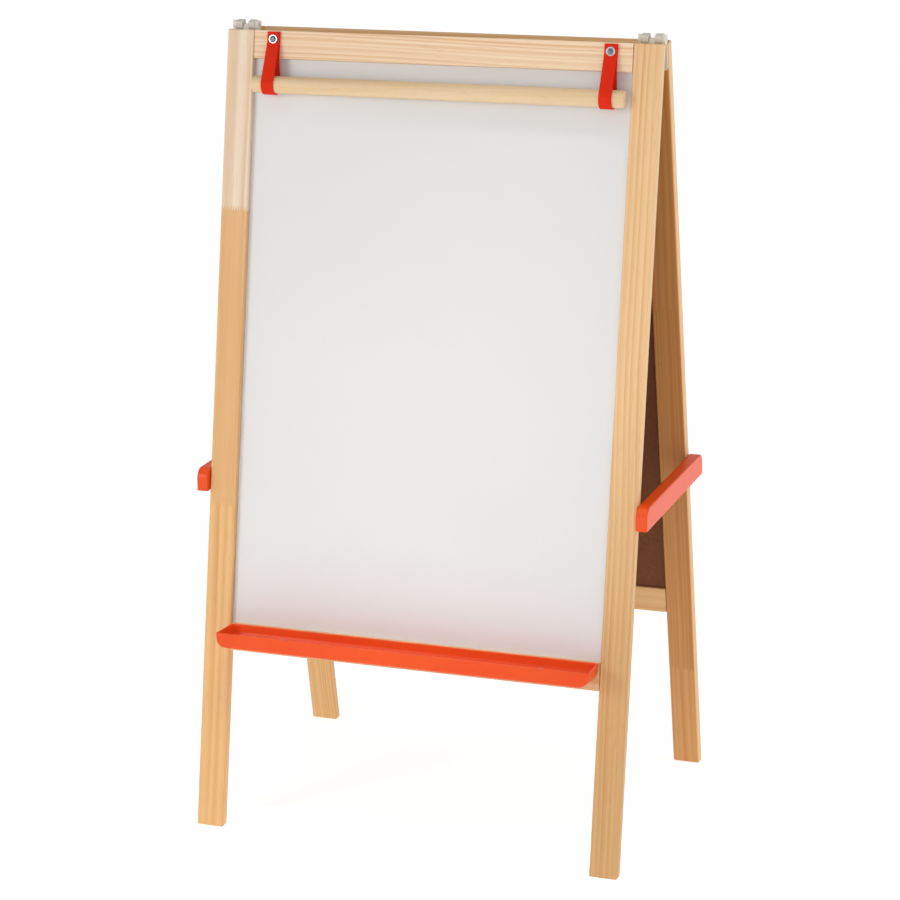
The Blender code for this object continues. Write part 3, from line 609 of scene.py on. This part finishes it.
def make_stay(side):
    """An upturned trough, with the screw's hole and the peg's open slot in its inner wall."""
    way = SIDES[side]
    low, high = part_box(f"stay_{side}")
    bm = trough(half_length=(high.y - low.y) / 2, depth=high.x - low.x, height=high.z - low.z,
                drop=0.0, wall=STAY_WALL, end_radius=0.015, draft=0.0015, edge=0.002,
                cove=0.002, rim=0.0007, corner=0.002)
    turn = Matrix.Rotation(math.pi / 2, 4, "Z") @ Matrix.Rotation(math.pi, 4, "X")
    seat = Matrix.Translation((low.x, 0, high.z))
    bmesh.ops.transform(bm, matrix=seat @ turn, verts=bm.verts)
    piece = piece_from(f"stay_{side}_shell", bm, ORANGE, sharp=60)
    shift = low.x - min((piece.matrix_world @ v.co).x for v in piece.data.vertices)
    piece.data.transform(Matrix.Translation((shift, 0, 0)))

    screw = Vector(JOINTS[f"stay_{side}_turn"]["pos_m"])
    near = low.x if way > 0 else high.x
    start, stop = near - way * PAST, near + way * (STAY_WALL + PAST_WALL)
    under = low.z - PAST
    peg = (-screw.y, screw.z)
    mouth = [(peg[0] - STAY_HOLE, under)] + arc(peg, STAY_HOLE, 180, MOUTH_FROM, 20)
    mouth.append((peg[0] - STAY_HOLE + MOUTH_LENGTH, under))
    cuts = bmesh.new()
    prism(cuts, arc((screw.y, screw.z), STAY_HOLE, 0, 348.75, 31), start, stop)
    prism(cuts, mouth, start, stop)
    trim(piece, cuts)
    piece.data.set_sharp_from_angle(angle=math.radians(60))
    put(level_normals(piece), f"stay_{side}", [f"stay_{side}"])


for end in PLACED:
    make_tray(end)
for side in SIDES:
    make_stay(side)


# Paper rod

ROD_EASING = 0.0016


def make_rod():
    """The turned rod, its ends eased."""
    low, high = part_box("paper_rod")
    radius, half = (high.z - low.z) / 2, (high.x - low.x) / 2
    inner = (radius - ROD_EASING, half - ROD_EASING)
    end = [(0, half)] + [(inner[0] + x, inner[1] + z) for x, z in arc((0, 0), ROD_EASING, 90, 0, 6)]
    profile = end + [(r, -h) for r, h in reversed(end)]
    bm = bmesh.new()
    turned(bm, profile, facing((1, 0, 0), (low + high) / 2), sides=72)
    piece = piece_from("paper_rod_turned", bm, ROD_BEECH, sharp=50)
    put(level_normals(piece), "paper_rod", ["paper_rod"])


make_rod()


# Geometry nodes

def new_tree(name, result, inputs):
    """A tree of geometry nodes with named inputs, and a function that adds a node to it."""
    tree = bpy.data.node_groups.new(name, "GeometryNodeTree")
    tree.is_modifier = True
    for label, (kind, value) in inputs.items():
        socket = tree.interface.new_socket(label, in_out="INPUT", socket_type=f"NodeSocket{kind}")
        if value is not None:
            socket.default_value = value
    tree.interface.new_socket(result, in_out="OUTPUT", socket_type="NodeSocketGeometry")

    def node(kind, settings=(), out=None, **values):
        """A node with its settings, then the values or links of its sockets. Returns an output."""
        made = tree.nodes.new(kind)
        for key, setting in dict(settings).items():
            setattr(made, key, setting)
        for key, value in values.items():
            label = key.replace("_", " ")
            socket = next(s for s in made.inputs if s.name == label and s.enabled)
            if isinstance(value, bpy.types.NodeSocket):
                tree.links.new(value, socket)
            else:
                socket.default_value = value
        outputs = [s for s in made.outputs if s.enabled]
        return outputs[0] if out is None else next(s for s in outputs if s.name == out)

    return tree, tree.nodes.new("NodeGroupInput").outputs, node


def end_tree(tree, node, shape, finish):
    """Ends a tree in plain geometry with a material."""
    real = node("GeometryNodeRealizeInstances", Geometry=shape)
    shaded = node("GeometryNodeSetMaterial", Geometry=real, Material=finish)
    tree.links.new(shaded, tree.nodes.new("NodeGroupOutput").inputs[0])
    return tree


def run_tree(piece, tree, values):
    """Runs geometry nodes on a piece and keeps the plain mesh. Inputs are set by identifier."""
    modifier = piece.modifiers.new(tree.name, "NODES")
    modifier.node_group = tree
    for item in tree.interface.items_tree:
        if item.in_out == "INPUT" and item.name in values:
            modifier[item.identifier] = values[item.name]
    return settle(piece)


# Straps: a flat band swept along a path

STRAP_THICKNESS = 0.002
STRAP_EDGE = 0.0005
STRAP_TOP_IN = 0.0004           # from the strap's top down to the path's ends
LAYERS_PART = 0.0185            # from the strap's top down to where its two layers part
STRAIGHT_UP = (0.003, 0.008)    # above that, where the front layer is held straight
ROUND_RAIL = ((0.0, 0.0025), (0.0001, 0.001), (0.0003, -0.0005))    # by the rail's lower edge


def band_tree():
    """Geometry nodes that sweep a flat band with eased edges along a path of points."""
    tree, given, node = new_tree("sweep_band", "Band", {
        "Path": ("Geometry", None), "Width": ("Float", 0.02), "Thickness": ("Float", 0.002),
        "Edge easing": ("Float", 0.0005), "Finish": ("Material", None)})
    path = node("GeometryNodeMeshToCurve", Mesh=given["Path"])
    path = node("GeometryNodeSetCurveNormal", {"mode": "FREE"}, Curve=path, Normal=(1.0, 0.0, 0.0))
    section = node("GeometryNodeCurvePrimitiveQuadrilateral", Width=given["Width"],
                   Height=given["Thickness"])
    section = node("GeometryNodeFilletCurve", {"mode": "POLY"}, Curve=section, Count=4,
                   Radius=given["Edge easing"])
    band = node("GeometryNodeCurveToMesh", Curve=path, Profile_Curve=section, Fill_Caps=True)
    return end_tree(tree, node, band, given["Finish"])


def strap_path(top, rod, radius, rail):
    """The band's middle line: down the rail and behind the rod, round it, and up in front."""
    back = rail.y - GAP - STRAP_THICKNESS / 2
    front = back - STRAP_THICKNESS
    centre = (rod.y, rod.z)
    radius += GAP + STRAP_THICKNESS / 2
    part = top - LAYERS_PART
    top = top - STRAP_TOP_IN

    def leave(point, way):
        """The angle round the rod at which a straight run to a point leaves it."""
        away = Vector(point) - Vector(centre)
        return math.degrees(math.atan2(away.y, away.x) + way * math.acos(radius / away.length))

    points = [(back, top), (back, part)] + [(back + y, rail.z + z) for y, z in ROUND_RAIL]
    points += arc(centre, radius, leave(points[-1], -1), leave((front, part), 1) - 360, 40)
    points += [(front, part + up) for up in STRAIGHT_UP] + [(front, top)]
    return points


def make_strap(side):
    """A strap that holds the rod, doubled under its screw."""
    placing = PLACED["front"]
    rod_low, rod_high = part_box("paper_rod")
    rod = placing.inverted() @ ((rod_low + rod_high) / 2)
    rail = box_in("front_top_rail", placing)[0]
    low, high = box_in(f"strap_{side}", placing)
    path = strap_path(high.z, rod, (rod_high.z - rod_low.z) / 2, rail)
    points = [placing @ Vector(((low.x + high.x) / 2, y, z)) for y, z in path]
    mesh = bpy.data.meshes.new(f"strap_{side}_band")
    mesh.from_pydata(points, [(i, i + 1) for i in range(len(points) - 1)], [])
    piece = bpy.data.objects.new(f"strap_{side}_band", mesh)
    bpy.context.scene.collection.objects.link(piece)
    run_tree(piece, BAND, {"Width": high.x - low.x, "Thickness": STRAP_THICKNESS,
                           "Edge easing": STRAP_EDGE, "Finish": STRAP_RED})
    piece.data.shade_smooth()
    piece.data.set_sharp_from_angle(angle=math.radians(50))
    put(piece, "front_frame", [f"strap_{side}"])


BAND = band_tree()
for side in SIDES:
    make_strap(side)


# Hinges

LEAF_OUT, LEAF_FACE = -0.0043, -0.0015      # a leaf's two sides, in from the pin's axis
LEAF_TOP = -0.0074
LEAF_CORNER = 0.004
LUG_ROOT = 0.003                # how far the lugs reach into the leaf
LUG_CORNER = 0.0014             # of a lug's squared top
OUTER_LUG_FROM = 0.0150         # from the hinge's middle, on the front half
INNER_LUG = (0.0046, 0.0147)    # the same, on the back half
TAB_HALF, TAB_FACE, TAB_TOP = 0.0042, -0.0026, 0.0012
PIN_HOLE = 0.0023
HINGE_SCREW_ACROSS, HINGE_SCREW_AT = 0.011, -0.025
SINK = [(0, 0.001), (0.0038, 0.001), (0.0038, 0), (0.0019, -0.0018), (0.0019, -0.004), (0, -0.004)]
HINGE_EASING = 0.00035


def lug_outline(barrel):
    """A lug's section round the pin, squared at the top, down into the leaf."""
    first = -math.degrees(math.acos(LEAF_FACE / barrel))
    last = 360 - math.degrees(math.acos(LEAF_OUT / barrel))
    inner = barrel - LUG_CORNER
    over = arc((0, 0), barrel, first, 0, 12)
    over += arc((inner, inner), LUG_CORNER, 0, 90, 4) + arc((-inner, inner), LUG_CORNER, 90, 180, 4)
    over += arc((0, 0), barrel, 180, last, 12)[1:]
    return over + [(LEAF_OUT, LEAF_TOP - LUG_ROOT), (LEAF_FACE, LEAF_TOP - LUG_ROOT)]


def make_hinge_half(end, side):
    """A leaf with two lugs that wrap the pin."""
    front = end == "front"
    placing = PLACED[end]
    low, high = box_in(f"hinge_{side}_{end}_half", placing)
    middle = (low.x + high.x) / 2
    half = (high.x - low.x) / 2
    flat = placing @ Matrix(((0, 1, 0, middle), (1, 0, 0, 0), (0, 0, 1, 0), (0, 0, 0, 1)))

    # The leaf. The front one rises between its lugs' roots, and is cut back there.
    top = LEAF_TOP + LUG_ROOT if front else LEAF_TOP
    outline = [(half, top), (-half, top)]
    outline += arc((-half + LEAF_CORNER, low.z + LEAF_CORNER), LEAF_CORNER, 180, 270, 8)
    outline += arc((half - LEAF_CORNER, low.z + LEAF_CORNER), LEAF_CORNER, 270, 360, 8)
    leaf = bmesh.new()
    prism(leaf, outline, LEAF_OUT, LEAF_FACE, flat)
    piece = piece_from(f"hinge_{side}_{end}_moulding", leaf, HINGE_PLASTIC, sharp=30)
    if front:
        gap = bmesh.new()
        prism(gap, [(OUTER_LUG_FROM, LEAF_TOP), (OUTER_LUG_FROM, 0), (-OUTER_LUG_FROM, 0),
                    (-OUTER_LUG_FROM, LEAF_TOP)], LEAF_OUT - PAST_WALL, LEAF_FACE + PAST_WALL, flat)
        trim(piece, gap)

    # Its lugs, and the tab between the front ones
    lugs = bmesh.new()
    from_middle, to_middle = (OUTER_LUG_FROM, half) if front else INNER_LUG
    for way in (-1, 1):
        prism(lugs, lug_outline(high.z), middle + way * from_middle, middle + way * to_middle,
              placing)
    if front:
        root = LEAF_TOP - LUG_ROOT
        tab = [(LEAF_OUT, root), (TAB_FACE, root), (TAB_FACE, TAB_TOP), (LEAF_OUT, TAB_TOP)]
        prism(lugs, tab, middle - TAB_HALF, middle + TAB_HALF, placing)
    trim(piece, lugs, "UNION")

    # The pin's hole and the sunk screw holes
    cuts = bmesh.new()
    prism(cuts, arc((0, 0), PIN_HOLE, 0, 348, 29), middle - half - PAST, middle + half + PAST,
          placing)
    for across in (-HINGE_SCREW_ACROSS, HINGE_SCREW_ACROSS):
        at = (middle + across, LEAF_FACE, HINGE_SCREW_AT)
        turned(cuts, SINK, placing @ facing((0, 1, 0), at), sides=32)
    trim(piece, cuts)
    bevel = piece.modifiers.new("easing", "BEVEL")
    bevel.width = HINGE_EASING
    bevel.segments = 2
    bevel.limit_method = "ANGLE"
    bevel.angle_limit = math.radians(50)
    settle(piece)
    piece.data.set_sharp_from_angle(angle=math.radians(50))
    put(level_normals(piece), f"{end}_frame", [f"hinge_{side}_{end}_half"])


for end in PLACED:
    for side in SIDES:
        make_hinge_half(end, side)


# Screws, pegs, washers and dowels: one pattern of each, set on points

def setting_tree():
    """Geometry nodes that set a pattern on points, standing along each point's own direction."""
    tree, given, node = new_tree("set_fixings", "Fixings", {
        "Points": ("Geometry", None), "Pattern": ("Object", None), "Turn spread": ("Float", None),
        "Seed": ("Int", None), "Finish": ("Material", None)})
    pattern = node("GeometryNodeObjectInfo", out="Geometry", Object=given["Pattern"])
    out = node("GeometryNodeInputNamedAttribute", {"data_type": "FLOAT_VECTOR"}, Name="out")
    stand = node("FunctionNodeAlignRotationToVector", {"axis": "Z"}, Vector=out)
    chance = node("FunctionNodeRandomValue", {"data_type": "FLOAT"}, Max=given["Turn spread"],
                  Seed=given["Seed"])
    spin = node("FunctionNodeAxisAngleToRotation", Axis=(0, 0, 1), Angle=chance)
    turn = node("FunctionNodeRotateRotation", {"rotation_space": "LOCAL"}, Rotation=stand,
                Rotate_By=spin)
    copies = node("GeometryNodeInstanceOnPoints", Points=given["Points"], Instance=pattern,
                  Rotation=turn)
    return end_tree(tree, node, copies, given["Finish"])


def cross_recess(piece, top, arm=0.0021, half=0.00062, depth=0.0018):
    """A cross cut into a screw's head."""
    cross = bmesh.new()
    quarter = [(half, half), (half, arm), (-half, arm)]
    outline = [(y * c - z * s, y * s + z * c)
               for c, s in ((1, 0), (0, 1), (-1, 0), (0, -1)) for y, z in quarter]
    prism(cross, outline, top - depth, top + PAST, Matrix.Rotation(-math.pi / 2, 4, "Y"))
    return trim(piece, cross)


def pattern_of(name, profile, sides=40, recess=None):
    """The pattern that the fixings are copies of."""
    bm = bmesh.new()
    turned(bm, profile, Matrix.Identity(4), sides=sides)
    piece = piece_from(name, bm, ZINC, sharp=35)
    if recess is not None:
        cross_recess(piece, recess)
    piece.data.set_sharp_from_angle(angle=math.radians(35))
    return level_normals(piece)


def thread(radius, length, tip, pitch=0.0011, depth=0.00035):
    """A screw's grooved shank from its tip up, as rings."""
    points = [(0, -length)]
    count = int((length - tip) / pitch)
    for i in range(count):
        up = -length + tip + i * pitch
        points += [(radius - depth, up), (radius, up + pitch * 0.5)]
    return points + [(radius - depth, -length + tip + count * pitch)]


DOME = [(0.004 * math.cos(math.radians(a)), 0.0024 * (0.35 + 0.65 * math.sin(math.radians(a))))
        for a in range(0, 90, 10)]
# Each fixing's profile as (radius, height) points, how many sides it has, and whether a cross is
# cut into its top. Height 0 is the surface that it stands on, or a dowel's middle.
PROFILES = {
    "pan_screw": (thread(0.0016, 0.012, 0.003) + [(0.0014, 0), (0.0036, 0)] + DOME + [(0, 0.0024)],
                  40, True),
    "flat_screw": (thread(0.0016, 0.012, 0.003)[:-4] + [(0.0014, -0.0018), (0.0033, -0.0001),
                                                        (0.0032, 0), (0, 0)], 40, True),
    "washer": ([(0.0019, 0), (0.0063, 0), (0.0065, 0.0002), (0.0065, 0.0007), (0.0061, 0.0011),
                (0.0054, 0.0012), (0.0046, 0.0010), (0.0040, 0.0007), (0.0019, 0.0006),
                (0.0019, 0)], 40, False),
    "peg": ([(0, -0.012), (0.0026, -0.012), (0.003, -0.0116), (0.003, 0.0039), (0.0052, 0.0039),
             (0.0055, 0.0042), (0.0055, 0.0056), (0.0053, 0.0061), (0.0048, 0.0064), (0, 0.0064)],
            40, True),
    "dowel": ([(0, -0.0147), (0.0025, -0.0147), (0.003, -0.0140), (0.003, 0.0140),
               (0.0025, 0.0147), (0, 0.0147)], 24, False),
}
TOPS = {kind: max(height for _, height in profile) for kind, (profile, _, _) in PROFILES.items()}
PATTERNS = {kind: pattern_of(f"{kind}_pattern", profile, sides, TOPS[kind] if recessed else None)
            for kind, (profile, sides, recessed) in PROFILES.items()}
SETTING = setting_tree()
HEAD_TURNS = 1.5                # radians


def set_fixings(kind, end, nodes, out, finish, spread=0.0):
    """One body's fixings of one kind, each on its CAD node's own axis, with their heads' turns
    spread over an angle."""
    placing = PLACED[end]
    turn = placing.to_3x3()
    points, directions = [], []
    for node in nodes:
        low, high = box_in(node, placing)
        direction = Vector(out(node))
        seat = (low + high) / 2
        reach = high if sum(direction) > 0 else low
        for i in range(3):
            if direction[i]:
                seat[i] = reach[i] - direction[i] * TOPS[kind]
        points.append(placing @ seat)
        directions.append(turn @ direction)
    mesh = bpy.data.meshes.new(f"{end}_{kind}s")
    mesh.from_pydata(points, [], [])
    held = mesh.attributes.new("out", "FLOAT_VECTOR", "POINT")
    held.data.foreach_set("vector", [c for d in directions for c in d])
    piece = bpy.data.objects.new(f"{end}_{kind}s", mesh)
    bpy.context.scene.collection.objects.link(piece)
    run_tree(piece, SETTING, {"Pattern": PATTERNS[kind], "Turn spread": spread, "Seed": 4,
                              "Finish": finish})
    put(piece, f"{end}_frame", nodes)


def sideways(end):
    """Out of a leg's outer side, for a node named after its side."""
    return lambda node: (way_of(end, "left" if "left" in node else "right"), 0, 0)


for end in PLACED:
    screws = [f"{end}_tray_screw_{side}" for side in SIDES]
    if end == "front":
        screws += [f"strap_screw_{side}" for side in SIDES]
    set_fixings("pan_screw", end, screws, lambda node: (0, -1, 0), ZINC, HEAD_TURNS)
    leaf = [f"hinge_{side}_{end}_screw_{number}" for side in SIDES for number in (1, 2)]
    set_fixings("flat_screw", end, leaf, lambda node: (0, 1, 0), ZINC, HEAD_TURNS)
    pegs = [f"stay_{side}_{'catch_peg' if end == 'front' else 'pivot_screw'}" for side in SIDES]
    set_fixings("peg", end, pegs, sideways(end), ZINC, HEAD_TURNS)
    dowels = [node for node in frame["nodes"] if node.startswith(f"{end}_") and "_dowel_" in node]
    set_fixings("dowel", end, sorted(dowels), sideways(end), ROD_BEECH)
set_fixings("washer", "front", [f"strap_washer_{side}" for side in SIDES],
            lambda node: (0, -1, 0), WASHER_STEEL)
for pattern in PATTERNS.values():
    bpy.data.objects.remove(pattern)
for side in SIDES:
    frame["nodes"][f"hinge_{side}_pin"].material_slots[0].material = WASHER_STEEL


# Floor, light and camera

def make_floor():
    """A wide pale floor."""
    floor = Finish("pale_floor", roughness=0.9, specular_ior_level=0.0)
    cloud = floor.noise(floor.where(), scale=0.7, detail=1.0)
    floor.shader.inputs["Emission Strength"].default_value = 0.70
    floor.shader.inputs["Emission Color"].default_value = (1.0, 1.0, 1.0, 1.0)
    floor.feed(base_color=floor.mix(cloud, tone(206, 206, 206), tone(203, 203, 203)))
    bm = bmesh.new()
    bmesh.ops.create_grid(bm, x_segments=8, y_segments=8, size=30.0)
    piece = piece_from("floor", bm, floor.material)
    piece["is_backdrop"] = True


def make_surroundings(strength):
    """Even white light from all round."""
    world = bpy.data.worlds.new("studio")
    world.use_nodes = True
    background = world.node_tree.nodes["Background"]
    background.inputs["Color"].default_value = (1.0, 1.0, 1.0, 1.0)
    background.inputs["Strength"].default_value = strength
    bpy.context.scene.world = world


def make_light(name, at, towards, size, power, spread=180.0):
    """A soft box that shines towards a point, its beam as wide as spread."""
    lamp = bpy.data.lights.new(name, "AREA")
    lamp.shape = "RECTANGLE"
    lamp.size, lamp.size_y = size
    lamp.energy = power
    lamp.spread = math.radians(spread)
    light = bpy.data.objects.new(name, lamp)
    light.matrix_world = facing(Vector(at) - Vector(towards), at)
    bpy.context.scene.collection.objects.link(light)


def make_camera(azimuth, elevation, roll, towards, distance, lens):
    """The camera, on its own line of sight round the object."""
    a, e, r = (math.radians(angle) for angle in (azimuth, elevation, roll))
    back = Vector((math.sin(a) * math.cos(e), -math.cos(a) * math.cos(e), math.sin(e)))
    right = Vector((math.cos(a), math.sin(a), 0))
    up = back.cross(right)
    across = right * math.cos(r) + up * math.sin(r)
    upward = up * math.cos(r) - right * math.sin(r)
    data = bpy.data.cameras.new("camera")
    data.lens = lens
    data.sensor_width = 36
    camera = bpy.data.objects.new("camera", data)
    turn = Matrix((across, upward, back)).transposed().to_4x4()
    camera.matrix_world = Matrix.Translation(Vector(towards) + back * distance) @ turn
    bpy.context.scene.collection.objects.link(camera)
    bpy.context.scene.camera = camera


make_floor()
make_surroundings(0.52)
make_light("key", (-2.4, -3.4, 1.9), (0, 0, 0.6), (1.2, 1.2), 39.0)
make_light("fill", (1.9, -4.2, 1.5), (0, 0, 0.4), (2.0, 1.6), 8.0)
make_light("tray_beam", (0.3, -0.9, 2.9), (0, -0.23, 0.30), (0.7, 0.4), 0.7, spread=24.0)
make_light("side", (3.4, 0.4, 1.3), (0, 0, 0.6), (1.2, 2.2), 27.0)
bpy.context.scene.view_settings.view_transform = "Standard"
make_camera(azimuth=19.825, elevation=16.106, roll=-0.805, towards=(-0.0014, 0.0, 0.5467),
            distance=4.2357, lens=113.88)

low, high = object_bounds()
